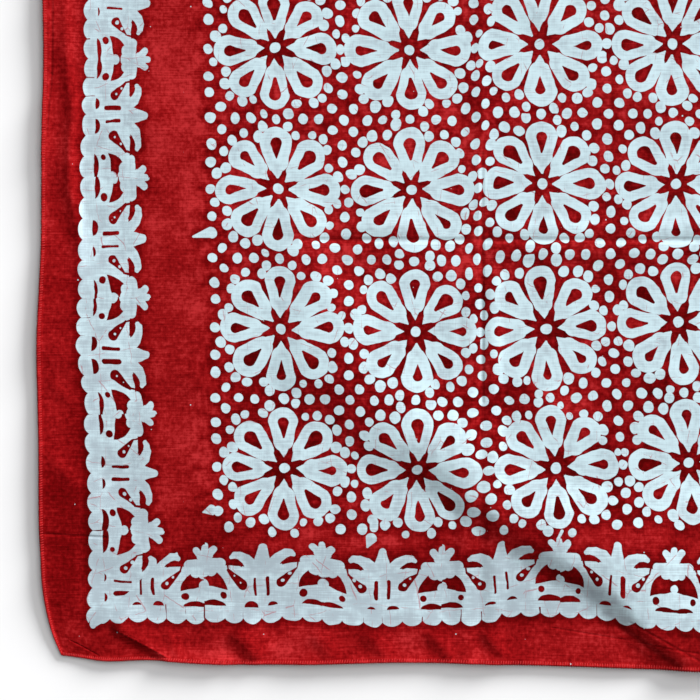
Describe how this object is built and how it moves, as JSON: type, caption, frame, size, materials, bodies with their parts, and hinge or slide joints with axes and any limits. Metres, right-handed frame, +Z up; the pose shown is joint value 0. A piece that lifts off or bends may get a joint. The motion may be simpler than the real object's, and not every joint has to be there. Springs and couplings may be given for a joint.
{
  "type": "batik scarf",
  "caption": "Square cotton batik scarf with a rolled hem, lying spread out with one long slanting fold and its storage creases.",
  "frame": {"origin": "on the table, under the middle of the cloth's outline", "axes": "+X along the cloth's longer side, to the picture's right; +Y to the picture's top; +Z up from the table"},
  "size_m": [0.6088, 0.5908, 0.0124],
  "materials": {
    "batik_cotton": "fine plain-woven cotton, wax-resist dyed red, with a pale bluish white pattern of flowers, dots and a border, matt"
  },
  "bodies": {
    "root": {"scarf_cloth": "batik_cotton"}
  },
  "joints": []
}
